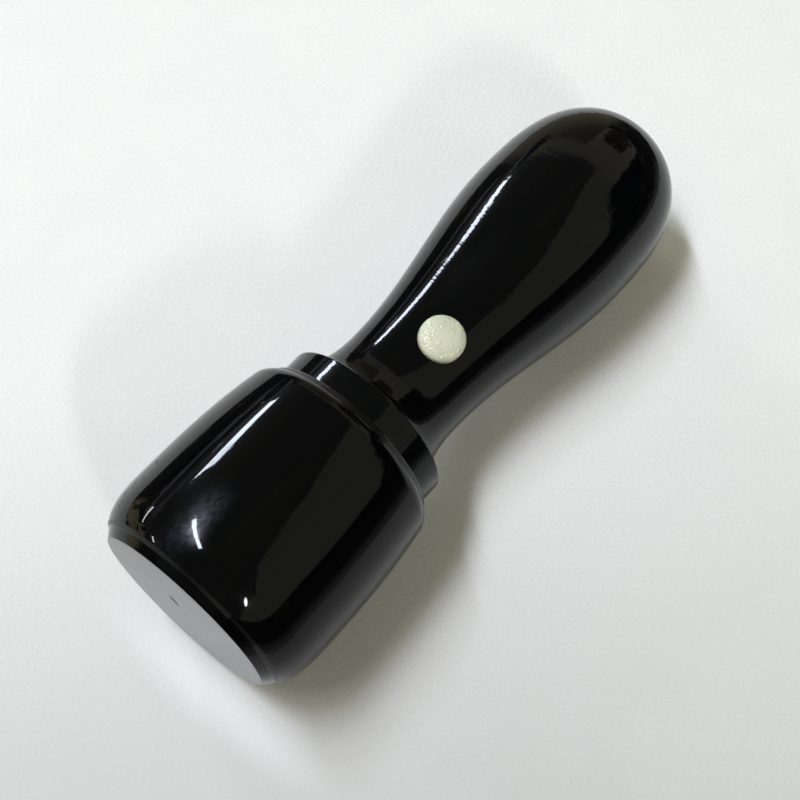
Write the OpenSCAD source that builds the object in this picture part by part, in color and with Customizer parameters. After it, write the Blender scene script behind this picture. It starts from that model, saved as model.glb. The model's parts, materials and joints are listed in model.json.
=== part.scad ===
// Round company seal in its push-on cap, turned in black horn, lying on its side.
// Each piece is drawn standing, with the turning axis as Z and the cap's foot at 0.
// Then the whole seal is laid down, so that it rests on the cap's belly and on the
// grip's bulb, with its crown towards +X and the table at Z = 0.

/* [Seal] */
// Length of the seal from its engraved face to its crown
seal_len = 60; // [56:1:66]
// Diameter of the engraved face and of the stem behind it
face_d = 16.5; // [15:0.5:18]
// Length of the plain stem, from the face to the collar
stem_len = 16.1; // [13:0.1:19]
// Bevel round the edge of the engraved face
face_bevel = 0.25; // [0.1:0.05:0.5]

/* [Collar] */
// Height of the collar that stays in sight above the cap
collar_h = 2.7; // [2:0.1:4]
// How far the collar stands out beyond the stem, on the radius
collar_step = 0.3; // [0.2:0.05:0.6]
// Bevel on the collar's upper edge
collar_bevel = 0.12; // [0.05:0.01:0.2]
// Width of the flat ledge between the collar's edge and the flare
ledge_w = 0.7; // [0.4:0.05:1]

/* [Grip] */
// Height of the flare from the collar up to the waist
flare_h = 4.9; // [3.5:0.1:6.5]
// Diameter of the grip at its waist
waist_d = 12.6; // [11:0.1:14]
// Height from the waist up to the widest ring of the bulb
bulb_rise = 23; // [19:0.5:26]
// Diameter of the bulb at its widest ring
bulb_d = 18.2; // [16:0.1:20]
// Fullness of the crown along the axis
crown_fullness = 2.8; // [2.2:0.1:3.4]
// Roundness of the crown's tip
crown_roundness = 2.3; // [1.9:0.1:2.6]

/* [Engraved face] */
// Width of the raised border ring
border_w = 0.8; // [0.5:0.1:1.2]
// Outer diameter of the raised inner ring
inner_ring_d = 9.4; // [8:0.1:10.5]
// Width of the raised inner ring
inner_ring_w = 0.6; // [0.4:0.1:0.8]
// Depth of the cut ground between the raised lines
cut_depth = 0.5; // [0.3:0.05:0.8]
// Number of plain raised bars between the two rings
bar_count = 16; // [8:1:20]
// Width of each plain raised bar
bar_w = 0.6; // [0.4:0.1:0.8]
// Gap between a bar's end and the ring beside it
bar_gap = 0.45; // [0.3:0.05:0.7]
// Distance between the plain bars inside the inner ring
inner_pitch = 2.25; // [1.6:0.05:2.6]

/* [Index dot] */
// Diameter of the inlaid dot
dot_d = 4.3; // [3:0.1:5]
// Height of the dot's centre above the collar's upper face
dot_rise = 8.2; // [6.5:0.1:12]
// Length of the dot's peg inside the grip
dot_peg = 2.2; // [1.5:0.1:3]
// Height of the dot's straight side above the grip's surface
dot_wall = 0.3; // [0.1:0.05:0.5]
// Height of the dot's rounded top above its straight side
dome_h = 0.7; // [0.4:0.05:1]
// Fullness of the dot's rounded top
dome_fullness = 3.2; // [2:0.1:4]

/* [Cap] */
// Thickness of the cap's floor
cap_floor = 3.7; // [2.5:0.1:5]
// Space between the engraved face and the cap's floor
face_gap = 0.8; // [0.4:0.1:1.5]
// Wall of the cap at its belly
cap_wall = 2.54; // [2.2:0.02:3]
// Height of the belly's widest ring above the foot
belly_h = 7.9; // [6:0.1:9]
// How much the belly draws in from its widest ring up to the shoulder
belly_draw = 0.69; // [0.4:0.01:0.9]
// How much the belly draws in from its widest ring down to its lower edge
belly_tuck = 1.02; // [0.7:0.01:1.1]
// Radius of the rounded shoulder
shoulder_r = 1.7; // [1.3:0.05:2]
// Height of the bevelled lip round the cap's mouth
lip_h = 0.66; // [0.4:0.02:0.9]
// Step down from the shoulder onto the lip
lip_step = 0.07; // [0.04:0.01:0.12]
// Width of the cap's rim, from its bore out to the lip's edge
rim_w = 0.79; // [0.6:0.01:0.9]

/* [Cap foot] */
// Height of the band round the foot
foot_h = 0.72; // [0.5:0.02:1.2]
// Height of the bevel from the foot band out to the belly's lower edge
foot_bevel_h = 0.33; // [0.2:0.01:0.5]
// How far the foot band's top lies inside the belly's lower edge
foot_inset = 0.43; // [0.25:0.01:0.6]
// How much the foot band draws in towards the flat foot
foot_taper = 0.5; // [0.2:0.05:0.7]
// Bevel round the flat foot's edge
foot_edge = 0.1; // [0.05:0.01:0.2]

/* [Cap bore] */
// Clearance on the radius where the cap grips the stem
fit_gap = 0.08; // [0.04:0.01:0.1]
// Length of the close fit inside the cap's mouth
fit_len = 6; // [4:0.5:9]
// Extra room on the radius in the deeper part of the bore
relief = 0.25; // [0.15:0.05:0.4]
// Radius of the corner at the bottom of the bore
bore_corner = 1.2; // [0.8:0.1:1.8]
// Gap between the collar and the cap's rim
seat_gap = 0.05; // [0.02:0.01:0.1]

/* [Lying] */
// Turn about the seal's own axis that brings the index dot off the top
dot_turn = 15.4; // [0:0.2:60]
// Where the full turns of the seal and the cap begin, off the dot's line: with this
// start, a flat of their many-sided forms faces straight down, and the pair lies still
seam_turn = 10.5; // [0:0.5:30]

/* [Hidden] */

// Clearance round the index dot's peg in its hole
dot_gap = 0.03;

// Sides of the turned pieces and of the peg, and steps along their curves
turn_fn = 120;
peg_fn = 64;
curve_steps = 28;
dome_steps = 12;
corner_steps = 8;

// How quickly the belly leaves its widest ring, upwards and downwards
draw_power = 2.3;
tuck_power = 4.6;

// The shoulder is an arc between these two slopes, in degrees
shoulder_start = 8;
shoulder_end = 47;

// Heights along the turning axis, from the cap's foot
face_z = cap_floor + face_gap;
collar_z = face_z + stem_len;
ledge_z = collar_z + collar_h;
waist_z = ledge_z + flare_h;
bulb_z = waist_z + bulb_rise;
crown_z = face_z + seal_len;
mouth_z = collar_z - seat_gap;
lip_z = mouth_z - lip_h;
tuck_z = foot_h + foot_bevel_h;

// Radii
face_r = face_d / 2;
collar_r = face_r + collar_step;
flare_r = collar_r - ledge_w;
waist_r = waist_d / 2;
bulb_r = bulb_d / 2;
fit_r = face_r + fit_gap;
bore_r = fit_r + relief;
belly_r = fit_r + cap_wall;
tuck_r = belly_r - belly_tuck;
foot_top_r = tuck_r - foot_inset;
foot_r = foot_top_r - foot_taper;
rim_r = fit_r + rim_w;

// The index dot: its radius and its place along the axis
dot_r = dot_d / 2;
dot_z = ledge_z + dot_rise;

// The shoulder carries on from the belly and ends just above the lip
shoulder_drop = shoulder_r * (cos(shoulder_start) - cos(shoulder_end));
shoulder_run = shoulder_r * (sin(shoulder_end) - sin(shoulder_start));
shoulder_z = lip_z - shoulder_run;
shoulder_top_r = belly_r - belly_draw;
lip_r = shoulder_top_r - shoulder_drop - lip_step;

// Radius of the grip at a height: flare, rise to the bulb, then crown
function flare_at(z) = flare_r - (flare_r - waist_r) * sqrt(max(0, 1 - pow((waist_z - z) / flare_h, 2)));
function rise_at(z) = waist_r + (bulb_r - waist_r) * (1 - cos(180 * (z - waist_z) / bulb_rise)) / 2;
function crown_at(z) =
    bulb_r * pow(max(0, 1 - pow((z - bulb_z) / (crown_z - bulb_z), crown_fullness)), 1 / crown_roundness);
function grip_at(z) = z < waist_z ? flare_at(z) : z < bulb_z ? rise_at(z) : crown_at(z);

// Slope of the grip at the dot, in degrees, because the dot stands square to its surface
dot_lean = atan((grip_at(dot_z + dot_r) - grip_at(dot_z - dot_r)) / dot_d);

// Radius of the cap's belly at a height: drawn in upwards, tucked in downwards
function belly_at(z) = z > belly_h
    ? belly_r - belly_draw * pow((z - belly_h) / (shoulder_z - belly_h), draw_power)
    : belly_r - belly_tuck * pow((belly_h - z) / (belly_h - tuck_z), tuck_power);

// Places that crowd towards the end of a curve where it bends hardest
function ease_in(t) = 1 - cos(90 * t);
function ease_out(t) = sin(90 * t);
function steps() = [for (i = [1 : curve_steps]) i / curve_steps];

// Outline of the grip above the collar, from the ledge to just below the crown
flare_line = [for (t = steps()) let (z = ledge_z + flare_h * ease_in(t)) [flare_at(z), z]];
rise_line = [for (t = steps()) let (z = waist_z + bulb_rise * t) [rise_at(z), z]];
crown_line = [for (t = steps()) let (z = bulb_z + (crown_z - bulb_z) * ease_out(t)) [crown_at(z), z]];
grip_line = concat([[flare_r, ledge_z]], flare_line, rise_line, crown_line);

// Outline of the cap's belly and shoulder, from the lower edge to the lip
tuck_line = [for (t = steps()) let (z = tuck_z + (belly_h - tuck_z) * ease_in(t)) [belly_at(z), z]];
draw_line = [for (t = steps()) let (z = belly_h + (shoulder_z - belly_h) * t) [belly_at(z), z]];
shoulder_line = [for (t = steps()) let (a = shoulder_start + (shoulder_end - shoulder_start) * t)
    [
        shoulder_top_r - shoulder_r * (cos(shoulder_start) - cos(a)),
        shoulder_z + shoulder_r * (sin(a) - sin(shoulder_start))
    ]];

// Outline of the cap's foot, from the flat face to the belly's lower edge
foot_line = [
    [foot_r - foot_edge, 0],
    [foot_r, foot_edge],
    [foot_top_r, foot_h],
    [tuck_r, tuck_z]
];

// The table touches the belly and the bulb, so the axis dips towards the crown. The dip
// is first taken from the two widest rings, then from the two rings that really touch.
function reach(p, a) = p[0] * cos(a) + p[1] * sin(a);
function furthest(line, a) = max([for (p = line) reach(p, a)]);
function touching(line, a) = [for (p = line) if (reach(p, a) >= furthest(line, a)) p][0];
first_dip = atan((belly_r - bulb_r) / (bulb_z - belly_h));
belly_touch = touching(concat(tuck_line, draw_line), first_dip);
bulb_touch = touching(grip_line, first_dip);
dip = atan((belly_touch[0] - bulb_touch[0]) / (bulb_touch[1] - belly_touch[1]));
axis_height = furthest(concat(tuck_line, draw_line, grip_line), dip);

// Ends of the laid-down seal along X, which centre it over the origin
low_end = min([for (p = foot_line) p[1] * cos(dip) - p[0] * sin(dip)]);
high_end = furthest([for (p = grip_line) [p[1], p[0]]], dip);
centre_x = (low_end + high_end) / 2;

// Lays a piece that is drawn standing onto the table, with the index dot near the top
module lying() {
    translate([-centre_x, 0, axis_height])
        rotate([0, 90 + dip, 0])
            rotate([0, 0, 180 + dot_turn])
                children();
}

// A flat ring, from its outer radius and its width
module flat_ring(outer_r, width) {
    difference() {
        circle(r = outer_r, $fn = turn_fn);
        circle(r = outer_r - width, $fn = turn_fn);
    }
}

// Plain raised lines of the engraved face: two rings, bars round them and bars inside
module face_lines() {
    flat_ring(face_r, border_w);
    flat_ring(inner_ring_d / 2, inner_ring_w);

    // Short bars that stand like spokes between the two rings
    bar_from = inner_ring_d / 2 + bar_gap;
    bar_to = face_r - border_w - bar_gap;
    for (i = [0 : bar_count - 1])
        rotate(i * 360 / bar_count)
            translate([bar_from, -bar_w / 2])
                square([bar_to - bar_from, bar_w]);

    // Parallel bars inside the inner ring, each as long as the ring leaves room for
    inner_reach = inner_ring_d / 2 - inner_ring_w - bar_gap;
    inner_side = floor((inner_reach - bar_w / 2) / inner_pitch);
    for (i = [-inner_side : inner_side])
        let (half = sqrt(pow(inner_reach, 2) - pow(inner_pitch * abs(i) + bar_w / 2, 2)))
            translate([-half, i * inner_pitch - bar_w / 2])
                square([2 * half, bar_w]);
}

// Stands a piece on the grip's surface at the dot's place, pointing straight out
module at_dot() {
    translate([grip_at(dot_z), 0, dot_z])
        rotate([0, 90 + dot_lean, 0])
            children();
}

// Hole in the grip's waist for the index dot's peg
module dot_hole() {
    depth = dot_peg + dot_gap;
    at_dot()
        translate([0, 0, -depth])
            cylinder(d = dot_d + 2 * dot_gap, h = depth + bulb_r, $fn = peg_fn);
}

// The seal itself: one turned piece from the engraved face to the crown
module seal_body() {
    color([0.03, 0.028, 0.027])
        lying() {
            difference() {
                rotate([0, 0, seam_turn])
                    rotate_extrude($fn = turn_fn)
                        polygon(concat(
                            [
                                [0, face_z + cut_depth],
                                [face_r, face_z + cut_depth],
                                [face_r, collar_z],
                                [collar_r, collar_z],
                                [collar_r, ledge_z - collar_bevel],
                                [collar_r - collar_bevel, ledge_z]
                            ],
                            grip_line
                        ));
                dot_hole();
            }
            intersection() {
                translate([0, 0, face_z])
                    linear_extrude(height = cut_depth)
                        face_lines();

                // Bevels the outer ring's edge
                translate([0, 0, face_z])
                    cylinder(
                        r1 = face_r - face_bevel,
                        r2 = face_r - face_bevel + cut_depth,
                        h = cut_depth,
                        $fn = turn_fn
                    );
            }
        }
}

// Inlaid dot that shows which way up the seal prints: a short peg with a rounded top
module index_dot() {
    color([0.85, 0.87, 0.76])
        lying()
            at_dot()
                rotate_extrude($fn = peg_fn)
                    polygon(concat(
                        [[0, -dot_peg], [dot_r, -dot_peg], [dot_r, dot_wall]],
                        [for (i = [1 : dome_steps])
                            let (share = cos(90 * i / dome_steps))
                                [dot_r * share, dot_wall + dome_h * sqrt(1 - pow(share, dome_fullness))]]
                    ));
}

// Push-on cap: barrel-shaped outside, a close bore at the mouth and a wider one below it
module cap() {
    color([0.035, 0.032, 0.03])
        lying()
            rotate([0, 0, seam_turn])
                rotate_extrude($fn = turn_fn)
                    polygon(concat(
                        [[0, 0]],
                        foot_line,
                        tuck_line,
                        draw_line,
                        shoulder_line,
                        [
                            [lip_r, lip_z],
                            [rim_r, mouth_z],
                            [fit_r, mouth_z],
                            [fit_r, mouth_z - fit_len],
                            [bore_r, mouth_z - fit_len - relief]
                        ],
                        [for (i = [0 : corner_steps])
                            let (a = 90 * i / corner_steps)
                                [
                                    bore_r - bore_corner * (1 - cos(a)),
                                    cap_floor + bore_corner * (1 - sin(a))
                                ]],
                        [[0, cap_floor]]
                    ));
}

seal_body();
index_dot();
cap();
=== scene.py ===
# %% [markdown]
# A round company seal lies on white paper with its push-on cap on. Both are turned in
# black horn and polished until they mirror the room, and a small pale dot is let into
# the grip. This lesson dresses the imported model: it keeps the model's sizes and places
# and gives each piece a finer surface and a real finish.

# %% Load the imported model
import json
import math

import bmesh
import bpy
import numpy as np
from mathutils import Matrix, Vector


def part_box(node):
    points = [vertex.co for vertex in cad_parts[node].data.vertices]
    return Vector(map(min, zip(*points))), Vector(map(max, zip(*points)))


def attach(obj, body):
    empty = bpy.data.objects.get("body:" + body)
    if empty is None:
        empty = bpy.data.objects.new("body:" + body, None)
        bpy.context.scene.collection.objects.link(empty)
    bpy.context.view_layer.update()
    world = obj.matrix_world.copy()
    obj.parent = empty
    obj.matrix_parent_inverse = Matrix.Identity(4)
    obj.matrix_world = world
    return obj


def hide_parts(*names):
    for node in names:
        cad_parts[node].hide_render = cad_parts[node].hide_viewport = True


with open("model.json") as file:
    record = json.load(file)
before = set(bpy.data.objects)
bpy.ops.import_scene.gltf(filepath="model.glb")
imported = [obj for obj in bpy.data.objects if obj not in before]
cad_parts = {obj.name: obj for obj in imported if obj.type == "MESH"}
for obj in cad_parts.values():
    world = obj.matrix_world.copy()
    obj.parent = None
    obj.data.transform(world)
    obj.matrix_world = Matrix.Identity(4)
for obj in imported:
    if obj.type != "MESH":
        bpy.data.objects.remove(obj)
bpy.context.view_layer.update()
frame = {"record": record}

# %% [markdown]
# The seal doesn't lie level: the cap's belly is wider than the grip's bulb, so the
# turning axis dips towards the crown. Its place needn't be typed in. The record's foot
# mount lies in the middle of the cap's flat foot and points straight out of it, which
# gives the axis. Every turned piece is then placed by a height along the axis, a radius
# and an angle, as it was cut on the lathe.

# %% The turning axis
MM = 0.001
FOOT_MOUNT = next(m for m in frame["record"]["mounts"] if m["name"] == "foot_face")
FOOT = np.array(FOOT_MOUNT["pos_m"])
ALONG = -np.array(FOOT_MOUNT["axis"])
ALONG /= np.linalg.norm(ALONG)
SIDE = np.array([0.0, 1.0, 0.0])
UP = np.cross(ALONG, SIDE)
DIP = math.atan2(-ALONG[2], ALONG[0])


def place(height, radius, angle):
    """Points on a turned piece, in metres: the foot, plus height along the axis, plus
    radius times (cosine of angle upwards and sine of angle sideways)."""
    out = np.cos(angle)[..., None] * UP + np.sin(angle)[..., None] * SIDE
    return FOOT + MM * (height[..., None] * ALONG + radius[..., None] * out)


print("Axis dips", round(math.degrees(DIP), 2), "degrees, foot at", np.round(FOOT, 5).tolist())

# %% [markdown]
# These are the maker's sizes in millimetres, the same ones that the solid model was
# drawn with. Heights are counted from the flat foot, so each is the sum of the ones
# below it. Only the softness of the edges is new: polishing breaks every sharp corner,
# and on a black mirror those tiny rounds are the fine bright lines that the eye sees.
# The shoulder's two ends are in degrees, and a power or a fullness is a plain number.

# %% Sizes in millimetres
SEAL_LEN = 60.0
FACE_R = 8.25
STEM_LEN = 16.1
FACE_BEVEL = 0.25
CUT_DEPTH = 0.5
BORDER_W = 0.8
INNER_R = 4.7
INNER_W = 0.6
COLLAR_H = 2.7
COLLAR_R = FACE_R + 0.3
COLLAR_BEVEL = 0.12
FLARE_R = COLLAR_R - 0.7
FLARE_H = 4.9
WAIST_R = 6.3
BULB_RISE = 23.0
BULB_R = 9.1
CROWN_FULLNESS = 2.8
CROWN_ROUNDNESS = 2.3

CAP_FLOOR = 3.7
FACE_Z = CAP_FLOOR + 0.8
COLLAR_Z = FACE_Z + STEM_LEN
LEDGE_Z = COLLAR_Z + COLLAR_H
WAIST_Z = LEDGE_Z + FLARE_H
BULB_Z = WAIST_Z + BULB_RISE
CROWN_Z = FACE_Z + SEAL_LEN

FIT_R = FACE_R + 0.08
BORE_R = FIT_R + 0.25
BORE_CORNER = 1.2
FIT_LEN = 6.0
RELIEF_SLOPE = 0.25
BELLY_R = FIT_R + 2.54
BELLY_Z = 7.9
BELLY_DRAW = 0.69
BELLY_DRAW_POWER = 2.3
BELLY_TUCK = 1.02
BELLY_TUCK_POWER = 4.6
SHOULDER_R = 1.7
SHOULDER_FROM, SHOULDER_TO = 8, 47
SHOULDER_STEP = 0.07
MOUTH_Z = COLLAR_Z - 0.05
LIP_Z = MOUTH_Z - 0.66
RIM_R = FIT_R + 0.79
FOOT_H = 0.72
TUCK_Z = FOOT_H + 0.33
TUCK_R = BELLY_R - BELLY_TUCK
FOOT_TOP_R = TUCK_R - 0.43
FOOT_R = FOOT_TOP_R - 0.5
FOOT_EDGE = 0.1

DOT_R = 2.15
DOT_Z = LEDGE_Z + 8.2
DOT_PEG = 2.2
DOT_WALL = 0.3
DOME_H = 0.7
DOME_FULLNESS = 3.2
print("Crown at", CROWN_Z, "mm, cap's mouth at", MOUTH_Z, "mm, dot at", DOT_Z, "mm")

# %% [markdown]
# A lathe turns an outline into a body, so each horn piece is an outline of heights and
# radii. The long curves are short formulas: the flare is a quarter of an ellipse, the
# rise to the bulb half a cosine wave, the crown a superellipse, and the cap's belly
# leaves its widest ring by a power of the distance. Straight cuts need only their ends.

# %% Outlines of the two turned pieces
def stretch(formula, start, end, steps=160):
    """Heights spaced by a cosine, so that they crowd at both ends, and their radii."""
    share = (1 - np.cos(np.linspace(0, math.pi, steps))) / 2
    height = start + (end - start) * share
    return np.stack([height, formula(height)], axis=1)


def flare(height):
    """Quarter ellipse: widest at the ledge, level at the waist."""
    share = np.clip((WAIST_Z - height) / FLARE_H, 0, 1)
    return FLARE_R - (FLARE_R - WAIST_R) * np.sqrt(1 - share**2)


def rise(height):
    """Half a cosine wave from the waist's radius to the bulb's."""
    wave = (1 - np.cos(math.pi * (height - WAIST_Z) / BULB_RISE)) / 2
    return WAIST_R + (BULB_R - WAIST_R) * wave


def crown(height):
    """Superellipse from the bulb's widest ring to the tip of the crown."""
    share = np.clip((height - BULB_Z) / (CROWN_Z - BULB_Z), 0, 1)
    return BULB_R * (1 - share**CROWN_FULLNESS) ** (1 / CROWN_ROUNDNESS)


SHOULDER = np.radians(np.linspace(SHOULDER_FROM, SHOULDER_TO, 60))
SHOULDER_Z = LIP_Z - SHOULDER_R * (math.sin(SHOULDER[-1]) - math.sin(SHOULDER[0]))


def belly(height):
    """Falls away from the widest ring by a power of the distance, up and down."""
    above = np.clip((height - BELLY_Z) / (SHOULDER_Z - BELLY_Z), 0, 1)
    below = np.clip((BELLY_Z - height) / (BELLY_Z - TUCK_Z), 0, 1)
    draw = BELLY_DRAW * above**BELLY_DRAW_POWER
    return BELLY_R - draw - BELLY_TUCK * below**BELLY_TUCK_POWER


shoulder_line = np.stack([
    SHOULDER_Z + SHOULDER_R * (np.sin(SHOULDER) - np.sin(SHOULDER[0])),
    BELLY_R - BELLY_DRAW - SHOULDER_R * (np.cos(SHOULDER[0]) - np.cos(SHOULDER)),
], axis=1)
LIP_R = shoulder_line[-1, 1] - SHOULDER_STEP
corner = np.linspace(0, math.pi / 2, 30)
bore_corner_line = np.stack([
    CAP_FLOOR + BORE_CORNER * (1 - np.sin(corner)),
    BORE_R - BORE_CORNER * (1 - np.cos(corner)),
], axis=1)

GROUND_Z = FACE_Z + CUT_DEPTH
INNER_HOLE_R = INNER_R - INNER_W
BORDER_HOLE_R = FACE_R - BORDER_W
CUT_SLOPE = 0.12
seal_outline = np.concatenate([
    [[GROUND_Z, 0], [GROUND_Z, INNER_HOLE_R - CUT_SLOPE], [FACE_Z, INNER_HOLE_R]],
    [[FACE_Z, INNER_R], [GROUND_Z, INNER_R + CUT_SLOPE]],
    [[GROUND_Z, BORDER_HOLE_R - CUT_SLOPE], [FACE_Z, BORDER_HOLE_R]],
    [[FACE_Z, FACE_R - FACE_BEVEL], [FACE_Z + FACE_BEVEL, FACE_R], [COLLAR_Z, FACE_R]],
    [[COLLAR_Z, COLLAR_R], [LEDGE_Z - COLLAR_BEVEL, COLLAR_R]],
    [[LEDGE_Z, COLLAR_R - COLLAR_BEVEL]],
    stretch(flare, LEDGE_Z, WAIST_Z),
    stretch(rise, WAIST_Z, BULB_Z)[1:],
    stretch(crown, BULB_Z, CROWN_Z)[1:],
])
cap_outline = np.concatenate([
    [[0, 0], [0, FOOT_R - FOOT_EDGE], [FOOT_EDGE, FOOT_R], [FOOT_H, FOOT_TOP_R]],
    stretch(belly, TUCK_Z, SHOULDER_Z),
    shoulder_line[1:],
    [[LIP_Z, LIP_R], [MOUTH_Z, RIM_R], [MOUTH_Z, FIT_R], [MOUTH_Z - FIT_LEN, FIT_R]],
    [[MOUTH_Z - FIT_LEN - RELIEF_SLOPE, BORE_R]],
    bore_corner_line,
    [[CAP_FLOOR, 0]],
])
print("Outline corners and curve points:", len(seal_outline), "seal,", len(cap_outline), "cap")

# %% [markdown]
# Two things turn an outline into a good mesh. First its corners are softened: the
# outline is walked in tiny even steps and each point becomes a bell-shaped average of
# its neighbours, which rounds a corner and leaves a long curve as it was. Then points
# are shared out again, many where the outline bends and few where it runs straight, so
# that the mirror-like surface shades smoothly and the piece stays light.

# %% Soften an outline and share out its points
STATION_GAP = 0.55
STATION_BEND = math.radians(6)


def softened(outline, softness, stations, walk=0.01):
    """Walks the outline in even steps, averages it with a Gaussian of the given
    softness, and returns stations spaced by length plus bending. A station gap of
    length counts as much as a station bend of turning."""
    leg = np.hypot(*np.diff(outline, axis=0).T)
    keep = np.concatenate([[True], leg > 1e-9])
    outline, leg = outline[keep], leg[leg > 1e-9]
    travel = np.concatenate([[0], np.cumsum(leg)])
    steps = np.linspace(0, travel[-1], int(travel[-1] / walk))
    path = np.stack([np.interp(steps, travel, outline[:, k]) for k in (0, 1)], axis=1)
    reach = int(4 * softness / walk)
    bell = np.exp(-0.5 * (np.arange(-reach, reach + 1) * walk / softness) ** 2)
    bell /= bell.sum()
    # Past each end the outline is continued by its mirror image across the axis
    before = path[reach:0:-1] * [1, -1]
    after = path[-2:-reach - 2:-1] * [1, -1]
    long_path = np.concatenate([before, path, after])
    soft = np.stack([np.convolve(long_path[:, k], bell, "valid") for k in (0, 1)], axis=1)
    soft[[0, -1], 1] = 0
    slope = np.unwrap(np.arctan2(*np.diff(soft, axis=0).T[::-1]))
    bend = np.abs(np.diff(slope, prepend=slope[0]))
    cost = np.concatenate([[0], np.cumsum(walk / STATION_GAP + bend / STATION_BEND)])
    pick = np.linspace(0, cost[-1], stations)
    return np.stack([np.interp(pick, cost, soft[:, k]) for k in (0, 1)], axis=1)


seal_profile = softened(seal_outline, softness=0.03, stations=330)
cap_profile = softened(cap_outline, softness=0.025, stations=340)
print("Softened rows:", len(seal_profile), "and", len(cap_profile))

# %% [markdown]
# The profile is now carried round the axis. Each row of the grid is a ring, and the two
# ends of the profile lie on the axis, where one shared point closes the surface. The
# order of the corners in a face decides which way it looks: a height step crossed with
# an angle step points away from the horn, outside and inside the bore alike.

# %% Turn a profile into a mesh
def new_piece(name, points, faces):
    """Puts points and faces into a mesh at the origin and shades it smoothly."""
    mesh = bpy.data.meshes.new(name)
    mesh.from_pydata(points.tolist(), [], faces)
    mesh.shade_smooth()
    mesh.update()
    piece = bpy.data.objects.new(name, mesh)
    bpy.context.scene.collection.objects.link(piece)
    return piece


def ring_faces(rows, sides):
    """Quads between rings of points, then fans to the two end points that follow."""
    row, col = np.meshgrid(np.arange(rows - 1), np.arange(sides), indexing="ij")
    nxt = (col + 1) % sides
    quads = np.stack([row * sides + col, (row + 1) * sides + col,
                      (row + 1) * sides + nxt, row * sides + nxt], axis=-1)
    around = np.arange(sides)
    turned = (around + 1) % sides
    first, last = rows * sides, rows * sides + 1
    start = np.stack([np.full(sides, first), around, turned], axis=1)
    end = np.stack([(rows - 1) * sides + around, np.full(sides, last),
                    (rows - 1) * sides + turned], axis=1)
    return quads.reshape(-1, 4).tolist() + start.tolist() + end.tolist()


def turned_piece(name, profile, sides=256):
    """Profile points (height, radius) carried round the axis through a full turn."""
    angle = np.arange(sides) * 2 * math.pi / sides
    height, turn = np.meshgrid(profile[1:-1, 0], angle, indexing="ij")
    radius = np.repeat(profile[1:-1, 1:], sides, axis=1)
    rings = place(height, radius, turn).reshape(-1, 3)
    ends = place(profile[[0, -1], 0], np.zeros(2), np.zeros(2))
    return new_piece(name, np.concatenate([rings, ends]), ring_faces(len(profile) - 2, sides))


seal = turned_piece("turned_seal", seal_profile)
cap = turned_piece("turned_cap", cap_profile)
for piece in (seal, cap):
    print(piece.name, len(piece.data.vertices), "points", len(piece.data.polygons), "faces")

# %% [markdown]
# The index dot is a short peg of pale resin, glued into a blind hole and domed on top.
# It isn't on top of the lying seal but a little to one side, and its angle is measured
# from the frame's own node. Peg and hole are turned pieces too, only about another axis,
# so the same ring grid serves. The hole is cut with a Boolean, because a bored hole
# crosses the grid of the horn at places that no formula of the grid would follow.

# %% The dot's own axis
dot_low, dot_high = (np.array(corner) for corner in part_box("index_dot"))
dot_offset = (dot_low + dot_high) / 2 - FOOT
DOT_ANGLE = math.atan2(dot_offset @ SIDE, dot_offset @ UP)
slope_from, slope_to = rise(np.array([DOT_Z - DOT_R, DOT_Z + DOT_R]))
DOT_LEAN = math.atan2(slope_to - slope_from, 2 * DOT_R)
radial = math.cos(DOT_ANGLE) * UP + math.sin(DOT_ANGLE) * SIDE
DOT_OUT = math.cos(DOT_LEAN) * radial - math.sin(DOT_LEAN) * ALONG
DOT_DOWN = np.cross(DOT_OUT, np.cross(ALONG, DOT_OUT))
DOT_DOWN /= np.linalg.norm(DOT_DOWN)
DOT_ACROSS = np.cross(DOT_OUT, DOT_DOWN)
DOT_ROOT = FOOT + MM * (DOT_Z * ALONG + float(rise(np.array([DOT_Z]))[0]) * radial)


def peg_piece(name, profile, sides):
    """Profile points (distance out from the grip's surface, radius) carried round the
    dot's own axis."""
    turn = np.arange(sides) * 2 * math.pi / sides
    around = np.cos(turn)[:, None] * DOT_DOWN + np.sin(turn)[:, None] * DOT_ACROSS
    rings = DOT_ROOT + MM * (profile[1:-1, 0, None, None] * DOT_OUT
                             + profile[1:-1, 1, None, None] * -around)
    ends = DOT_ROOT + MM * profile[[0, -1], :1] * DOT_OUT
    faces = ring_faces(len(profile) - 2, sides)
    return new_piece(name, np.concatenate([rings.reshape(-1, 3), ends]), faces)


print("Dot is turned", round(math.degrees(DOT_ANGLE), 2), "degrees from the top and leans",
      round(math.degrees(DOT_LEAN), 2))

# %% Make the domed peg
share = np.cos(np.linspace(0, math.pi / 2, 60))
dome_line = np.stack([DOT_WALL + DOME_H * np.sqrt(1 - share**DOME_FULLNESS), DOT_R * share],
                     axis=1)
dot_outline = np.concatenate([[[-DOT_PEG, 0], [-DOT_PEG, DOT_R]], dome_line])
dot = peg_piece("index_dot_peg", softened(dot_outline, softness=0.05, stations=100), sides=128)
print("Dot rises", round(DOT_WALL + DOME_H, 2), "mm above the grip")

# %% Bore the hole for it
HOLE_GAP = 0.03
HOLE_TOP = 3.0
CUT_EDGE = math.radians(35)


def take_away(piece, tool):
    """Boolean difference, applied at once, with edges sharper than the cut edge's angle
    left unsmoothed. The tool is thrown away."""
    cut = piece.modifiers.new("cut", "BOOLEAN")
    cut.operation = "DIFFERENCE"
    cut.solver = "EXACT"
    cut.object = tool
    depsgraph = bpy.context.evaluated_depsgraph_get()
    result = bpy.data.meshes.new_from_object(piece.evaluated_get(depsgraph))
    piece.modifiers.clear()
    piece.data = result
    result.shade_smooth()
    result.set_sharp_from_angle(angle=CUT_EDGE)
    bpy.data.objects.remove(tool)


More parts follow.
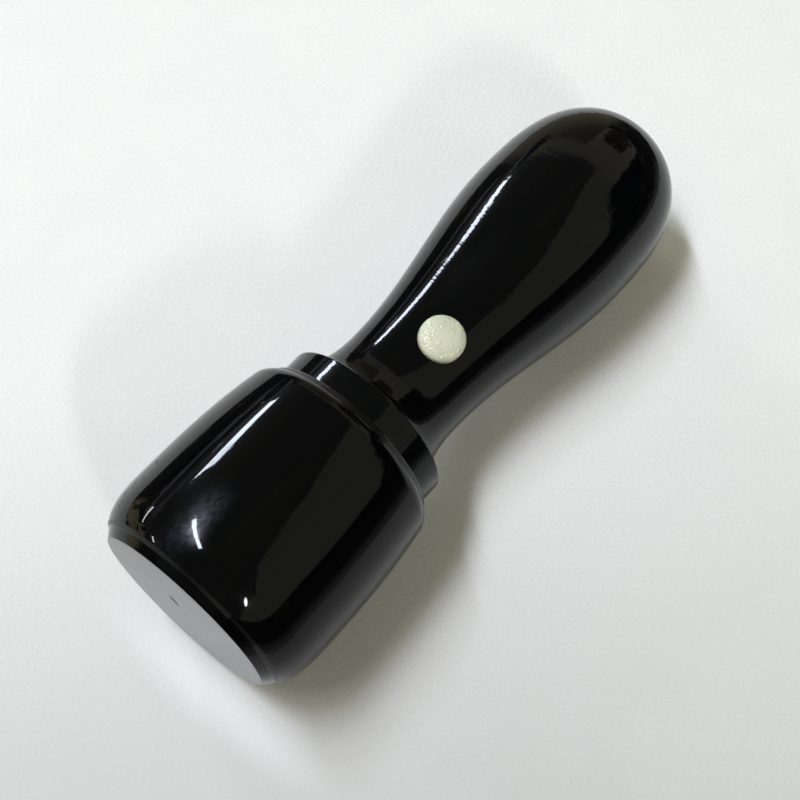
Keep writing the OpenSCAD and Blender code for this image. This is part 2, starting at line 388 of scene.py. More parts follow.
hole_outline = np.array([
    [-DOT_PEG - HOLE_GAP, 0],
    [-DOT_PEG - HOLE_GAP, DOT_R + HOLE_GAP],
    [HOLE_TOP, DOT_R + HOLE_GAP],
    [HOLE_TOP, 0],
])
drill = peg_piece("drill", softened(hole_outline, softness=0.02, stations=60), sides=128)
take_away(seal, drill)
print("Seal has", len(seal.data.polygons), "faces once the hole is bored")

# %% [markdown]
# A slit of a millimetre in the middle of the foot is the pith of the horn, the soft core
# that shrank as it dried, with a small pore beside it. They show that the cap is one
# solid piece. A dark stain would vanish here, because the foot is seen at a flat angle
# and mirrors the white paper, so both are really cut: a thin lens-shaped blade is taken
# away from the cap for each.

# %% The pith slit
PITH_START = np.array([1.40, 1.81])
PITH_END = np.array([0.40, 0.87])
PITH_W = 0.52
PORE_START = np.array([-0.02, -0.22])
PORE_END = np.array([-0.20, -0.38])
PORE_W = 0.22
PITH_DEPTH = 0.9
BLADE_TOP = -0.5
BLADE_TAPER = 0.98
LENS_POWER = 0.7


def blade(name, start, end, width):
    """A lens between two points of the foot, (sideways, upwards) in mm: half its width
    is a power of a half sine wave along it. It is pushed from just outside the foot to
    the pith's depth, where it is a touch nearer the axis."""
    share = np.linspace(0, 1, 25)
    middle = start + share[:, None] * (end - start)
    across = np.array([-(end - start)[1], (end - start)[0]]) / np.linalg.norm(end - start)
    bulge = width / 2 * np.sin(math.pi * share)[:, None] ** LENS_POWER * across
    outline = np.concatenate([middle + bulge, (middle - bulge)[-2:0:-1]])
    sideways, upwards = outline.T
    radius, angle = np.hypot(sideways, upwards), np.arctan2(sideways, upwards)
    top = place(np.full(len(outline), BLADE_TOP), radius, angle)
    bottom = place(np.full(len(outline), PITH_DEPTH), radius * BLADE_TAPER, angle)
    here = np.arange(len(outline))
    ahead = np.roll(here, -1)
    sides = np.stack([here, ahead, ahead + len(outline), here + len(outline)], axis=1)
    caps = [here[::-1].tolist(), (here + len(outline)).tolist()]
    piece = new_piece(name, np.concatenate([top, bottom]), sides.tolist() + caps)
    recalculated = bmesh.new()
    recalculated.from_mesh(piece.data)
    bmesh.ops.recalc_face_normals(recalculated, faces=recalculated.faces)
    recalculated.to_mesh(piece.data)
    recalculated.free()
    return piece


take_away(cap, blade("pith_blade", PITH_START, PITH_END, PITH_W))
take_away(cap, blade("pore_blade", PORE_START, PORE_END, PORE_W))
print("Cap has", len(cap.data.polygons), "faces once the pith is cut")

# %% [markdown]
# Under the cap is the engraved face. It is hidden in the photograph and carries no
# lettering here, only plain bars between the two rings that the seal's own outline
# already has. Each bar is a small loaf: a rectangle whose edges slope down to the cut
# ground, as a hand chisel leaves them. The loaf is one grid, its height falling from
# the flat top to the ground over the width of the slope.

# %% Bars of the engraved face
BAR_W = 0.6
BAR_GAP = 0.45
INNER_PITCH = 2.25
BAR_SINK = 0.1
TOP_POINTS = 7
SLOPE_STEPS = np.array([1, 0.66, 0.33])
SPOKES = 16
BAR_EDGE = math.radians(50)


def bar_grid(length, width):
    """Grid over a rectangle widened by the slope. The height is the face's on top, and
    past the rectangle's edge it falls evenly to just inside the cut ground."""
    def spread(half):
        """Offsets over one width: three down each slope and the rest across the top."""
        slope = half + CUT_SLOPE * SLOPE_STEPS
        return np.concatenate([-slope, np.linspace(-half, half, TOP_POINTS), slope[::-1]])

    x, y = np.meshgrid(spread(length / 2), spread(width / 2), indexing="ij")
    outside = np.maximum(np.abs(x) - length / 2, np.abs(y) - width / 2)
    height = FACE_Z + (CUT_DEPTH + BAR_SINK) * np.clip(outside / CUT_SLOPE, 0, 1)
    return x, y, height


def bar(length, width, middle, angle):
    """Places one bar on the face: middle is its centre's distance from the axis along
    the direction that angle gives, and offsets lie along and across that direction."""
    x, y, height = bar_grid(length, width)
    out = (middle[0] + x, middle[1] + y)
    radius = np.hypot(*out)
    turn = np.arctan2(out[1], out[0]) + angle
    points = place(height, radius, turn).reshape(-1, 3)
    rows, cols = x.shape
    row, col = np.meshgrid(np.arange(rows - 1), np.arange(cols - 1), indexing="ij")
    here = row * cols + col
    faces = np.stack([here, here + 1, here + cols + 1, here + cols], axis=-1).reshape(-1, 4)
    rim = np.concatenate([
        np.arange(cols), np.arange(2, rows + 1) * cols - 1,
        np.arange(rows * cols - 2, (rows - 1) * cols - 1, -1),
        np.arange(rows - 2, 0, -1) * cols,
    ])
    return points, faces.tolist() + [rim.tolist()]


bars = []
spoke_from, spoke_to = INNER_R + BAR_GAP, BORDER_HOLE_R - BAR_GAP
middle = ((spoke_from + spoke_to) / 2, 0)
for k in range(SPOKES):
    turn = DOT_ANGLE + k * 2 * math.pi / SPOKES
    bars.append(bar(spoke_to - spoke_from, BAR_W, middle, turn))
for k in (-1, 0, 1):
    half = math.sqrt((INNER_HOLE_R - BAR_GAP) ** 2 - (abs(k) * INNER_PITCH + BAR_W / 2) ** 2)
    bars.append(bar(2 * half, BAR_W, (0, k * INNER_PITCH), DOT_ANGLE))
bar_points, bar_faces, count = [], [], 0
for points, faces in bars:
    bar_points.append(points)
    bar_faces += [[count + i for i in face] for face in faces]
    count += len(points)
face_bars = new_piece("face_bars", np.concatenate(bar_points), bar_faces)
face_bars.data.set_sharp_from_angle(angle=BAR_EDGE)
print("Face has", len(bars), "plain bars")

# %% [markdown]
# Each fine piece now takes the place of its solid node and rides on the same body, so it
# moves when the cap is pulled off. The solids stay in the model for contact and weight.

# %% Stand for the nodes and ride on the bodies
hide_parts("seal_body")
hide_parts("seal_body")
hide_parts("index_dot")
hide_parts("cap")
for piece, body, slot in ((seal, "seal", "horn"), (face_bars, "seal", "horn"),
                          (dot, "seal", "dot"), (cap, "cap", "cap_horn")):
    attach(piece, body)
print("Pieces:", [piece.name for piece in (seal, face_bars, dot, cap)])

# %% [markdown]
# The finishes are node graphs written as plain expressions. A small class wraps a
# socket, so that 1 - mask or mask * 0.3 adds the Math node by itself, and one method
# adds any other node: its settings first, then the values or links of its sockets.

# %% Shader graphs as expressions
class Wire:
    """A value in a node graph. Arithmetic on it adds Math nodes and gives new wires."""

    def __init__(self, graph, socket):
        self.graph = graph
        self.socket = socket

    def math(self, operation, *others):
        """One Math node with this value first."""
        values = dict(enumerate((self, *others)))
        return self.graph.node("ShaderNodeMath", values, operation=operation)

    def __add__(self, other):
        return self.math("ADD", other)

    def __radd__(self, other):
        return self.math("ADD", other)

    def __sub__(self, other):
        return self.math("SUBTRACT", other)

    def __rsub__(self, other):
        return (self * -1) + other

    def __mul__(self, other):
        return self.math("MULTIPLY", other)

    def __rmul__(self, other):
        return self.math("MULTIPLY", other)

    def __truediv__(self, other):
        return self.math("DIVIDE", other)

    def __rtruediv__(self, other):
        return self.math("POWER", -1) * other

    def ramp(self, low, high):
        """Smooth step: 0 below low, 1 above high; low may be the larger of the two."""
        sockets = {"Value": self, "From Min": low, "From Max": high}
        return self.graph.node("ShaderNodeMapRange", sockets, interpolation_type="SMOOTHSTEP")

    def band(self, low, high, soft):
        """1 between low and high, falling to 0 within soft outside them."""
        return self.ramp(low - soft, low) * self.ramp(high + soft, high)


class Graph:
    """A material's or world's node graph, emptied when it is wrapped."""

    def __init__(self, owner):
        owner.use_nodes = True
        self.tree = owner.node_tree
        self.tree.nodes.clear()

    def node(self, kind, sockets=None, out=0, **settings):
        """Adds a node: settings first, then its sockets' values or links. Gives the
        output out, or nothing for a node that has no outputs."""
        made = self.tree.nodes.new(kind)
        for name, value in settings.items():
            setattr(made, name, value)
        for key, value in (sockets or {}).items():
            if isinstance(value, Wire):
                self.tree.links.new(value.socket, made.inputs[key])
            else:
                made.inputs[key].default_value = value
        return Wire(self, made.outputs[out]) if made.outputs else None

    def mix(self, factor, first, second):
        """Mixes two colours; factor 0 gives the first."""
        sockets = {0: factor, 6: first, 7: second}
        return self.node("ShaderNodeMix", sockets, out=2, data_type="RGBA")

    def noise(self, vector, scale, detail=2.0, roughness=0.5):
        """Noise between 0 and 1 over a vector."""
        sockets = {"Vector": vector, "Scale": scale, "Detail": detail,
                   "Roughness": roughness}
        return self.node("ShaderNodeTexNoise", sockets)

    def bump(self, height):
        """Normals bent by a height in metres."""
        sockets = {"Height": height, "Strength": 1.0, "Distance": 1.0}
        return self.node("ShaderNodeBump", sockets)

    def scaled(self, vector, sizes):
        """A vector times a fixed size in each direction."""
        return self.node("ShaderNodeVectorMath", {0: vector, 1: sizes}, operation="MULTIPLY")

    def split(self, vector):
        """The three numbers of a vector."""
        made = self.tree.nodes.new("ShaderNodeSeparateXYZ")
        self.tree.links.new(vector.socket, made.inputs[0])
        return [Wire(self, output) for output in made.outputs]


def rgb(red, green, blue):
    """A colour with full alpha."""
    return (red, green, blue, 1.0)


print("Shader helpers ready")

# %% [markdown]
# Patterns on horn follow the lathe, so every finish reads Object coordinates through a
# Mapping node that turns them into millimetres along the axis, to the side and upwards.
# The first number is then the height above the foot, and the other two give the radius.

# %% Millimetres along the axis
def lathe_coordinates(graph):
    """Object coordinates, moved to the foot, turned by the dip and given in mm."""
    coordinates = graph.node("ShaderNodeTexCoord", out=3)
    sockets = {"Vector": coordinates, "Location": tuple(FOOT),
               "Rotation": (0, DIP, 0), "Scale": (MM, MM, MM)}
    vector = graph.node("ShaderNodeMapping", sockets, vector_type="TEXTURE")
    height, sideways, upwards = graph.split(vector)
    radius = (sideways * sideways + upwards * upwards).math("SQRT")
    return vector, height, sideways, upwards, radius


print("Dip used by the patterns:", round(DIP, 5), "radians")

# %% [markdown]
# Polished horn is a near-black, slightly brown mirror. What tells it from plastic is
# small: rings left by the lathe, a gentle waviness from hand buffing, hairline
# scratches, a few specks of dust and faint fibres along the rod. Rings and waves are
# height patterns, and their heights are thousandths of a millimetre, because a mirror
# shows slopes of a tenth of a degree.

# %% Horn patterns
MICRON = 1e-6
RING_HEIGHT = 5.2
FINE_RING_HEIGHT = 1.6
WAVE_HEIGHT = 14.0
PEEL_HEIGHT = 0.7
SCRATCH_DEPTH = 0.9


def lathe_rings(graph, vector):
    """Noise that changes fast along the axis and hardly at all around it."""
    coarse = graph.noise(graph.scaled(vector, (1.9, 0.10, 0.10)), 1.0, detail=1.0)
    fine = graph.noise(graph.scaled(vector, (6.5, 0.16, 0.16)), 1.0, detail=1.0)
    return coarse, fine


def hairlines(graph, vector, turn, seed):
    """Thin broken scratches: edges of long narrow cells, kept where a noise is high."""
    sockets = {"Vector": vector, "Location": (seed, seed, seed), "Rotation": turn,
               "Scale": (0.08, 1.1, 1.1)}
    stretched = graph.node("ShaderNodeMapping", sockets)
    edge = graph.node("ShaderNodeTexVoronoi", {"Vector": stretched, "Scale": 1.0},
                      feature="DISTANCE_TO_EDGE")
    line = edge.ramp(0.022, 0.0)
    patches = graph.noise(vector, 0.35, detail=1.0).ramp(0.52, 0.66)
    return line * patches


def dust(graph, vector):
    """Tiny specks: the middle of a few cells out of many."""
    cell = graph.node("ShaderNodeTexVoronoi", {"Vector": vector, "Scale": 0.55})
    pick = graph.node("ShaderNodeTexVoronoi", {"Vector": vector, "Scale": 0.55}, out=1)
    chosen = graph.split(pick)[0].ramp(0.86, 0.88)
    return cell.ramp(0.045, 0.02) * chosen


def horn_height(graph, vector, rings_share):
    """Heights in metres of everything that bends the reflection, added up in microns."""
    coarse, fine = lathe_rings(graph, vector)
    waves = graph.noise(vector, 0.28, detail=0.0)
    peel = graph.noise(vector, 1.1, detail=1.0)
    scratch_one = hairlines(graph, vector, (0.0, 0.0, 0.35), 3.0)
    scratch_two = hairlines(graph, vector, (0.2, 0.15, -0.5), 11.0)
    rings = (coarse * RING_HEIGHT + fine * FINE_RING_HEIGHT) * rings_share
    scratches = (scratch_one + scratch_two) * SCRATCH_DEPTH
    return (rings + waves * WAVE_HEIGHT + peel * PEEL_HEIGHT - scratches) * MICRON


print("Horn patterns ready")

# %% [markdown]
# One shader can't be both clear and hazy. The clear polish is the shader's base, with an
# index of refraction lower than real horn's, because the camera that took the photograph
# made dark reflections nearly black. Over it lies a weak rough coat, the greasy haze
# that handling leaves beside a highlight, and there a bluish sheen is painted into the
# colour. Places that were never polished are a second, rougher shader, and a mask mixes
# the two.

# %% The horn finish
HORN_IOR = 1.29
COAT_ROUGHNESS = 0.24
COAT_IOR = 1.4
TURNED_ROUGHNESS = 0.45
TURNED_IOR = 1.25


def horn_finish(name, marks):
    """Black polished horn; marks(graph, coordinates) gives what one piece alone has:
    masks of dull and of hazy places, and how strong the lathe rings are."""
    material = bpy.data.materials.new(name)
    graph = Graph(material)
    coordinates = lathe_coordinates(graph)
    vector = coordinates[0]
    dull, hazy, rings_share = marks(graph, coordinates)
    fibres = graph.noise(graph.scaled(vector, (0.06, 0.9, 0.9)), 1.0, detail=3.0)
    smudge = graph.noise(vector, 0.9, detail=5.0, roughness=0.62)
    smear = graph.noise(graph.scaled(vector, (1.5, 2.4, 2.4)), 1.0, detail=4.0, roughness=0.7)
    specks = dust(graph, vector)
    # Nearly black, browner along fibres, grey on dust, painted bluish sheen where greasy
    colour = graph.mix(fibres.ramp(0.45, 0.8), rgb(0.0006, 0.0006, 0.0006),
                       rgb(0.0024, 0.0021, 0.0013))
    grease_and_sheen = hazy * hazy * smear.ramp(0.34, 0.66)
    colour = graph.mix(grease_and_sheen, colour, rgb(0.008, 0.012, 0.018))
    colour = graph.mix(specks, colour, rgb(0.30, 0.32, 0.34))
    roughness = 0.035 + smudge.ramp(0.5, 0.8) * 0.03 + specks * 0.5
    bump = graph.bump(horn_height(graph, vector, rings_share))
    haze = 0.015 + hazy * 0.20 + grease_and_sheen * 0.60
    polished = graph.node("ShaderNodeBsdfPrincipled", {
        "Base Color": colour, "Roughness": roughness, "IOR": HORN_IOR,
        "Coat Weight": haze, "Coat Roughness": COAT_ROUGHNESS, "Coat IOR": COAT_IOR,
        "Coat Tint": rgb(0.78, 0.88, 1.0), "Normal": bump})
    turned = graph.node("ShaderNodeBsdfPrincipled", {
        "Base Color": rgb(0.006, 0.006, 0.006), "Roughness": TURNED_ROUGHNESS,
        "IOR": TURNED_IOR, "Normal": bump})
    shader = graph.node("ShaderNodeMixShader", {0: dull, 1: polished, 2: turned})
    graph.node("ShaderNodeOutputMaterial", {"Surface": shader})
    return material


# %% [markdown]
# Each piece has marks of its own: the stem and the bore are as the tool left them, and
# the cap shows where it is held. A mark is a band of heights, radii or sides, all in
# millimetres with a soft edge, and its strength is a share between 0 and 1.

# %% The marks of each piece
def seal_marks(graph, coordinates):
    """Stem and cut ground are left as the tool left them. The collar and the side that
    faces +Y show their lathe rings most."""
    _, height, sideways, _, radius = coordinates
    stem = height.band(FACE_Z + 0.05, COLLAR_Z - 0.05, 0.05)
    cut_in = height.band(FACE_Z + 0.1, GROUND_Z + 0.1, 0.05)
    ground = cut_in * radius.ramp(FACE_R - 0.1, FACE_R - 0.2)
    collar = height.band(COLLAR_Z, LEDGE_Z, 0.2)
    dull = (stem * 0.35 + ground * 0.65).math("MINIMUM", 1.0)
    rings_share = 1.2 + sideways.ramp(0.5, 3.0) * 1.8 + collar * 1.0 + stem * 0.6
    return dull, 0.12 + collar * 0.13, rings_share


def cap_marks(graph, coordinates):
    """The bore is left from the tool. The lip's face and the bevel above the foot band
    are fine-turned and not polished, so they stay a plain dark grey between two bright
    edges. Handling has left a haze on the barrel near the foot, where a bluish sheen is
    painted into the colour as well, and a row of nicks along one side."""
    vector, height, sideways, upwards, radius = coordinates
    inside = radius.ramp(RIM_R - 0.3, RIM_R - 0.5)
    inside = inside * height.ramp(CAP_FLOOR - 0.4, CAP_FLOOR - 0.2)
    foot = height.ramp(0.1, 0.02)
    lip = height.band(LIP_Z + 0.10, MOUTH_Z - 0.10, 0.03)
    bevel = height.band(FOOT_H + 0.12, TUCK_Z - 0.04, 0.06)
    handled = sideways.band(0.9, 1.6, 1.9) * height.band(3.0, 5.5, 3.6) * upwards.ramp(0, 4)
    nicks = height.band(2.2, 7.0, 0.3) * sideways.band(8.25, 9.0, 0.1)
    nicks = nicks * graph.noise(vector, 2.6, detail=2.0).ramp(0.60, 0.64)
    dull = (inside * 0.5 + lip * 0.62 + bevel * 0.42 + nicks).math("MINIMUM", 1.0)
    return dull, 0.08 + handled * 0.92, 0.4 - foot * 0.35 + inside * 1.5


seal_finish = horn_finish("polished_horn_seal", seal_marks)
cap_finish = horn_finish("polished_horn_cap", cap_marks)
print("Finishes:", seal_finish.name, cap_finish.name)

# %% [markdown]
# The dot is pale green-white resin, domed by hand. Its skin is like fine orange peel, so
# the lamps break into small sparks on it, and its colour drifts a little across it.

# %% The dot's finish
DIMPLE_HEIGHT = 100.0
SWELL_HEIGHT = 70.0


def dot_finish():
    """Cream resin with a peel of small dimples on slower swells."""
    material = bpy.data.materials.new("pale_resin_dot")
    graph = Graph(material)
    vector = lathe_coordinates(graph)[0]
    cloud = graph.noise(vector, 0.45, detail=2.0)
    grain = graph.noise(vector, 6.0, detail=2.0)
    colour = graph.mix(cloud.ramp(0.3, 0.7), rgb(0.62, 0.65, 0.49), rgb(0.74, 0.74, 0.57))
    colour = graph.mix(grain.ramp(0.45, 0.8) * 0.35, colour, rgb(0.82, 0.84, 0.70))
    dimples = graph.noise(vector, 4.0, detail=1.0) * DIMPLE_HEIGHT
    dimples = dimples + graph.noise(vector, 1.2) * SWELL_HEIGHT
    roughness = 0.12 + grain * 0.10
    sockets = {"Base Color": colour, "Roughness": roughness, "IOR": 1.5,
               "Normal": graph.bump(dimples * MICRON)}
    shader = graph.node("ShaderNodeBsdfPrincipled", sockets)
    graph.node("ShaderNodeOutputMaterial", {"Surface": shader})
    return material


for piece, finish in ((seal, seal_finish), (face_bars, seal_finish),
                      (dot, dot_finish()), (cap, cap_finish)):
    piece.data.materials.clear()
    piece.data.materials.append(finish)
print("Each piece has its finish")

# %% [markdown]
# The stage is a sheet of white paper. Half of what a black mirror shows is the paper, so
# it has to be a real lit surface and not a painted backdrop. Still, shade is painted into
# its colour, darker towards the camera's side. A faint tooth keeps it from looking like a
# screen. The flat foot throws a streak of light on the paper in front of it. Traced rays
# find such light only slowly and with much grain, so that light is painted: the paper is
# simply a little whiter there.

# %% The paper
PAPER_HALF = 3.0
PAPER_LIGHT_WAY = (0.77, 0.64, 0.0)
PAPER_LIT = rgb(0.93, 0.93, 0.92)
PAPER_PAINTED_SHADE = rgb(0.575, 0.575, 0.57)
PAINTED_STREAK_MIDDLE = (-0.0347, -0.0035, 0)
PAINTED_STREAK_HALF = (0.0032, 0.0150, 1)
TOOTH_HEIGHT = 80.0


def paper_finish():
    """White paper with a faint tooth. Shade is painted into its colour: it gets darker
    towards the camera's side, by the place along the light's way. Light is painted too:
    it is whiter towards the middle of the foot's streak."""
    material = bpy.data.materials.new("white_paper")
    graph = Graph(material)
    coordinates = graph.node("ShaderNodeTexCoord", out=3)
    across = graph.node("ShaderNodeVectorMath", {0: coordinates, 1: PAPER_LIGHT_WAY},
                        out=1, operation="DOT_PRODUCT")
    tooth = graph.noise(coordinates, 2200.0, detail=3.0)
    mottle = graph.noise(coordinates, 90.0, detail=2.0)
    grain = graph.noise(coordinates, 3600.0, detail=3.0, roughness=0.7)
    # Painted shade: the colour goes from lit to shaded along the light's way
    colour = graph.mix(across.ramp(0.012, -0.065), PAPER_LIT, PAPER_PAINTED_SHADE)
    colour = graph.mix(mottle.ramp(0.3, 0.7) * 0.14, colour, rgb(0.80, 0.81, 0.82))
    colour = graph.mix(grain.ramp(0.40, 0.70) * 0.20, colour, rgb(0.58, 0.58, 0.57))
    # Painted light: the foot's streak is a whiter patch in the paper's colour
    streak = graph.node("ShaderNodeMapping", {
        "Vector": coordinates, "Location": PAINTED_STREAK_MIDDLE, "Scale": PAINTED_STREAK_HALF},
        vector_type="TEXTURE")
    from_painted_streak = graph.node("ShaderNodeVectorMath", {0: streak}, out=1, operation="LENGTH")
    colour = graph.mix(from_painted_streak.ramp(1.1, 0.0) * 0.55, colour, rgb(0.97, 0.99, 1.0))
    bump = graph.bump(tooth * TOOTH_HEIGHT * MICRON)
    sockets = {"Base Color": colour, "Roughness": 0.9, "IOR": 1.3,
               "Specular IOR Level": 0.0, "Normal": bump}
    shader = graph.node("ShaderNodeBsdfPrincipled", sockets)
    graph.node("ShaderNodeOutputMaterial", {"Surface": shader})
    return material


edge = PAPER_HALF * np.array([[-1, -1, 0], [1, -1, 0], [1, 1, 0], [-1, 1, 0]])
paper = new_piece("paper", edge, [[0, 1, 2, 3]])
paper.data.materials.append(paper_finish())
print("Paper reaches", PAPER_HALF, "m each way")

# %% [markdown]
# The camera stands where the photograph was taken from: close above the cap, a little to
# the side and looking down along the seal. It is placed from the seal's own axis. Its
# height is measured square to the axis, leaning a little to the -Y side, and its aim is
# a point near the axis about halfway along the seal.

# %% Camera
CAMERA_LEAN = math.radians(17.2)
CAMERA_BACK = -15.075
CAMERA_RISE = 110.753
AIM_ALONG = 27.14
AIM_ACROSS = -0.82
PHOTO_WIDTH = 800
FOCAL_PIXELS = 1300
SENSOR_MM = 36.0

lean_up = math.cos(CAMERA_LEAN) * UP - math.sin(CAMERA_LEAN) * SIDE
lean_side = math.cos(CAMERA_LEAN) * SIDE + math.sin(CAMERA_LEAN) * UP
eye = FOOT + MM * (CAMERA_BACK * ALONG + CAMERA_RISE * lean_up)
aim = FOOT + MM * (AIM_ALONG * ALONG + AIM_ACROSS * lean_side)

camera = bpy.data.objects.new("camera", bpy.data.cameras.new("camera"))
camera.location = eye
camera.rotation_mode = "QUATERNION"
camera.rotation_quaternion = Vector(aim - eye).to_track_quat("-Z", "Y")
camera.data.sensor_width = SENSOR_MM
camera.data.lens = SENSOR_MM * FOCAL_PIXELS / PHOTO_WIDTH
camera.data.clip_start = 0.005
camera.data.clip_end = 50.0
bpy.context.scene.collection.objects.link(camera)
bpy.context.scene.camera = camera
print("Camera at", np.round(eye, 4).tolist(), "lens", camera.data.lens, "mm")

# %% [markdown]
# On a mirror the lamps are part of the look: each bright streak is the picture of a
# lamp. They are strip lights, as in a plain studio, hung over the table. A strip is
# given by the directions of its two ends as seen from the seal, which is how the streaks
# in the photograph give it, and by the heights at which the ends hang.
#
# A streak wide enough for the photograph would cast too soft a shadow. So the key strip
# and the far strip are there twice: once for mirrors alone, and once, narrower, for matt
# surfaces alone. A third matt strip makes the broad, pale second shadow.

# %% Strip lights
MIDDLE = np.array([0.0, 0.0, 0.011])


def direction(azimuth, elevation):
    """Unit vector from an azimuth counted from +X towards +Y, and an elevation."""
    a, e = math.radians(azimuth), math.radians(elevation)
    return np.array([math.cos(a) * math.cos(e), math.sin(a) * math.cos(e), math.sin(e)])


def strip(name, start, end, hang, width, radiance, colour=(1, 1, 1), only="",
          shape="RECTANGLE"):
    """A strip light between two directions, facing the seal. Hang gives the heights of
    its two ends in metres, and its power is radiance times pi times its area. Only can
    be "mirror" or "matt": the one kind of surface that the strip is seen by."""
    ends = [MIDDLE + direction(*way) * high / math.sin(math.radians(way[1]))
            for way, high in zip((start, end), hang)]
    centre = (ends[0] + ends[1]) / 2
    long_way = ends[1] - ends[0]
    length = np.linalg.norm(long_way)
    x_axis = long_way / length
    z_axis = centre - MIDDLE
    z_axis -= (z_axis @ x_axis) * x_axis
    z_axis /= np.linalg.norm(z_axis)
    y_axis = np.cross(z_axis, x_axis)
    light = bpy.data.lights.new(name, "AREA")
    light.shape = shape
    light.size = length
    light.size_y = width
    light.energy = radiance * math.pi * length * width
    light.color = colour
    lamp = bpy.data.objects.new(name, light)
    turned = np.eye(4)
    turned[:3, 0], turned[:3, 1], turned[:3, 2], turned[:3, 3] = x_axis, y_axis, z_axis, centre
    lamp.matrix_world = Matrix(turned.tolist())
    lamp.visible_glossy = only != "matt"
    lamp.visible_diffuse = only != "mirror"
    bpy.context.scene.collection.objects.link(lamp)


KEY_ENDS = (82, 57), (140, 73)
FAR_ENDS = (76.4, 28.2), (63.5, 17.6)
strip("strip_key", *KEY_ENDS, hang=(0.7, 0.7), width=0.046, radiance=60,
      colour=(0.90, 0.97, 1.10), only="mirror")
strip("strip_far", *FAR_ENDS, hang=(0.33, 0.33), width=0.060, radiance=40,
      colour=(0.90, 0.96, 1.10), only="mirror")
strip("strip_low", (93, 15), (112, 9.5), hang=(0.5, 0.5), width=0.05, radiance=24)
strip("strip_end", (127, 20), (134, 18), hang=(0.5, 0.5), width=0.05, radiance=24)
strip("strip_small", (-113.5, 39.5), (-121.5, 31), hang=(0.63, 0.515), width=0.055,
      radiance=55, shape="ELLIPSE")
strip("matt_key", *KEY_ENDS, hang=(0.7, 0.7), width=0.034, radiance=68,
      colour=(0.93, 0.98, 1.11), only="matt")
strip("matt_wide", (98, 67), (164, 66.4), hang=(0.7, 0.7), width=0.084, radiance=19.8,
      colour=(1.0, 1.0, 1.04), only="matt")
strip("matt_far", *FAR_ENDS, hang=(0.33, 0.47), width=0.030, radiance=44, only="matt")

# %% [markdown]
# Around the strips the room is dim. A black mirror shows all of it, so the room is
# painted as the seal sees it: a map with the zenith in the middle, degrees from the
# zenith outwards, +X to the right and +Y upwards. Only mirror rays see the painting.
# Plain matt light comes from all sides at one soft level, and a camera ray that misses
# the paper meets a pale wall.

# %% Sky map
world = bpy.data.worlds.new("room")
bpy.context.scene.world = world
room = Graph(world)
ray = room.node("ShaderNodeTexCoord", out=0)
ray_x, ray_y, ray_z = room.split(ray)
DEGREES = 57.2958
from_zenith = ray_z.math("ARCCOSINE") * DEGREES
flat = (ray_x * ray_x + ray_y * ray_y).math("SQRT").math("MAXIMUM", 0.0001)
clutter = room.noise(ray, 5.0, detail=3.0)
ripple = room.noise(ray, 14.0, detail=2.0)
to_right = from_zenith * ray_x / flat + (clutter - 0.5) * 9.0
to_top = from_zenith * ray_y / flat + (ripple - 0.5) * 7.0


def window(left, right, low, high, soft=2.0):
    """Mask of a rectangle on the sky map, in degrees from the zenith."""
    return to_right.band(left, right, soft) * to_top.band(low, high, soft)


print("Sky map ready")

# %% The dim room
ceiling = rgb(0.52, 0.52, 0.43)
wall = rgb(0.66, 0.61, 0.50)
dim_wall = rgb(0.26, 0.235, 0.185)
low_wall = rgb(0.36, 0.32, 0.25)
shelf = rgb(0.10, 0.085, 0.055)
shade = rgb(0.16, 0.165, 0.16)
night = rgb(0.012, 0.020, 0.038)
slat = rgb(0.45, 0.46, 0.52)
low_slat = rgb(0.55, 0.57, 0.66)
ochre = rgb(1.0, 0.88, 0.68)

seen = room.mix(window(44, 100, -34, 22), ceiling, wall)
seen = room.mix(window(50, 100, 24, 66), seen, dim_wall)
seen = room.mix(window(58, 104, -8, 20) * clutter.ramp(0.44, 0.56), seen, shelf)

# A dark side lies past 40 degrees to the right, under a line that rises to the right
night_top = to_right * 0.45 - 50
dark_side = to_right.ramp(38.5, 40) * (night_top - to_top).ramp(-1.5, 1.5)
seen = room.mix(dark_side * to_top.ramp(-74, -71), seen, night)

# A broad grey shade fills the middle, up to a leaning line on the right and one below
leaning = (43 + to_top * 0.9).math("MINIMUM", 41.0)
bottom = to_right.math("MAXIMUM", 0.0) * 0.35 - 51
broad_shade = (leaning - to_right).ramp(-0.8, 0.8) * (to_top - bottom).ramp(-1.0, 1.0)
seen = room.mix(broad_shade, seen, shade)

# Low down the room is dark and cluttered, with two pale slats and an ochre field
low_down = from_zenith.ramp(75, 77)
seen = room.mix(low_down, seen, room.mix(clutter.ramp(0.45, 0.6), night, shelf))
seen = room.mix(low_down * window(52, 90, 26, 74), seen, low_wall)
seen = room.mix(window(-15, 45, 76.5, 79, 0.5), seen, low_slat)
seen = room.mix(window(-15, 45, 67, 70, 0.6), seen, slat)
seen = room.mix(window(-62, -34, 66, 92) * clutter.ramp(0.36, 0.46), seen, ochre)
print("Room painted")

# %% Which rays see what
def light_of(colour):
    """A background of one strength in a colour."""
    return room.node("ShaderNodeBackground", {"Color": colour, "Strength": 1.0})


painted = light_of(seen)
pale_wall = light_of(rgb(0.86, 0.86, 0.85))
soft_light = light_of(rgb(0.150, 0.143, 0.072))
is_camera = room.node("ShaderNodeLightPath", out="Is Camera Ray")
is_glossy = room.node("ShaderNodeLightPath", out="Is Glossy Ray")
unseen = room.node("ShaderNodeMixShader", {0: is_glossy, 1: soft_light, 2: painted})
shown = room.node("ShaderNodeMixShader", {0: is_camera, 1: unseen, 2: pale_wall})
room.node("ShaderNodeOutputWorld", {"Surface": shown})
bpy.context.scene.view_settings.view_transform = "Standard"
print("World ready")
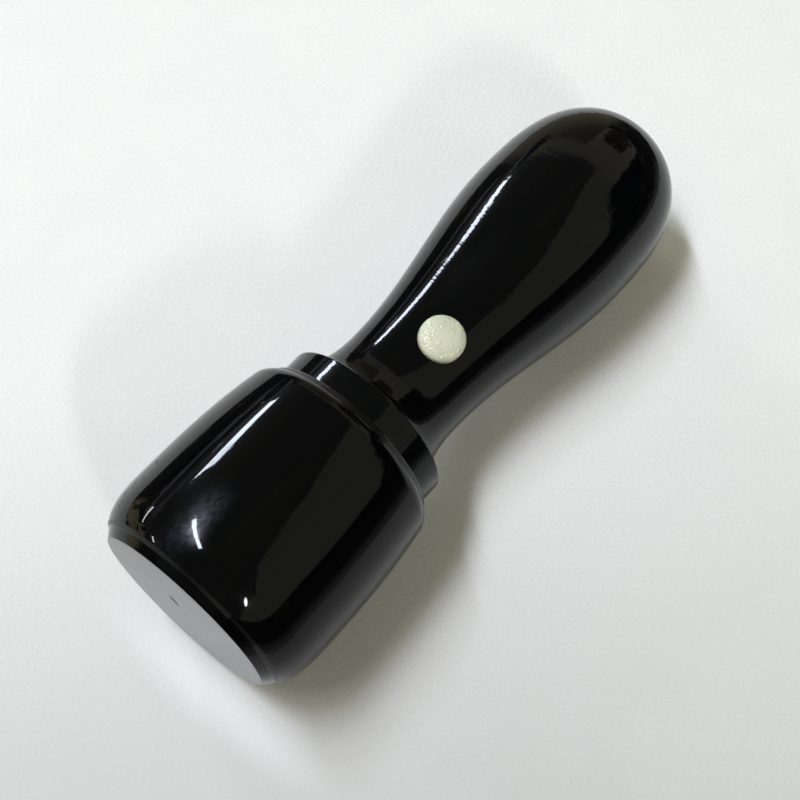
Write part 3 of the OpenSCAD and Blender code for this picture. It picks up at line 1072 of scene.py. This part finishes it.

# %% [markdown]
# The sheet of paper in the photograph is small: the seal mirrors its edge and the dark
# room past it. The floor here goes on, so a low dark fence stands round the seal and is
# seen in the horn alone, as a black card in a studio is. It comes nearer on the -Y side
# and is paler low down there, as the horn shows it: a painted reflection of the shaded
# paper. A few brown and ochre fields, painted reflections of the room, break it up on the
# other side. It glows in its own colours, so that no lamp changes them.

# %% The dark fence
FENCE_R = 0.088
FENCE_NEAR_R = 0.060
FENCE_H = 0.024
FENCE_FROM, FENCE_TO = -176, 150
FENCE_POSTS = 60
azimuth = np.linspace(FENCE_FROM, FENCE_TO, FENCE_POSTS)
fence_r = np.interp(azimuth, [-75, -50], [FENCE_NEAR_R, FENCE_R])
turn = np.radians(azimuth)
rim = fence_r[:, None] * np.stack([np.cos(turn), np.sin(turn)], axis=1)
# It starts low and has its full height after the first few posts
fence_top = FENCE_H * np.clip(np.linspace(0.1, 20, FENCE_POSTS), 0, 1)
fence_points = np.concatenate([
    np.column_stack([rim, np.zeros(FENCE_POSTS)]),
    np.column_stack([rim, fence_top]),
])
first = np.arange(FENCE_POSTS - 1)
above = first + FENCE_POSTS
fence_faces = np.stack([first + 1, first, above, above + 1], axis=1).tolist()
fence = new_piece("dark_fence", fence_points, fence_faces)

# %% The fence's colours
CARD_DARK = rgb(0.035, 0.037, 0.045)
CARD_BROWN = rgb(0.17, 0.115, 0.055)
CARD_TAN = rgb(0.38, 0.34, 0.26)
CARD_OCHRE = rgb(0.75, 0.65, 0.42)
CARD_PAINTED_PAPER = rgb(0.32, 0.325, 0.355)
fence_finish = bpy.data.materials.new("dark_card")
card = Graph(fence_finish)
card_place = card.node("ShaderNodeTexCoord", out=3)
card_noise = card.noise(card_place, 60.0, detail=3.0)
card_x, card_y, card_z = card.split(card_place)
brown = card_noise.ramp(0.56, 0.70) * card_y.ramp(-0.01, 0.01)
tan = card_x.ramp(0.050, 0.060) * card_y.ramp(0.012, 0.026)
ochre_field = card_x.ramp(-0.024, -0.034) * card_y.ramp(0.0, 0.01)
ochre_field = ochre_field * card_noise.ramp(0.42, 0.54)
# Painted reflection: low on the -Y side the card is as pale as the shaded paper in the horn
painted_paper_low = card_z.ramp(0.013, 0.001) * card_y.ramp(-0.015, -0.030)
card_colour = CARD_DARK
for mask, colour in ((brown, CARD_BROWN), (tan, CARD_TAN), (ochre_field, CARD_OCHRE),
                     (painted_paper_low, CARD_PAINTED_PAPER)):
    card_colour = card.mix(mask, card_colour, colour)
card_glow = card.node("ShaderNodeEmission", {"Color": card_colour, "Strength": 1.0})
card.node("ShaderNodeOutputMaterial", {"Surface": card_glow})
fence.data.materials.append(fence_finish)
fence.visible_camera = False
fence.visible_diffuse = False
fence.visible_shadow = False
fence.visible_transmission = False
print("Fence of", FENCE_H * 1000, "mm at", FENCE_R * 1000, "mm")
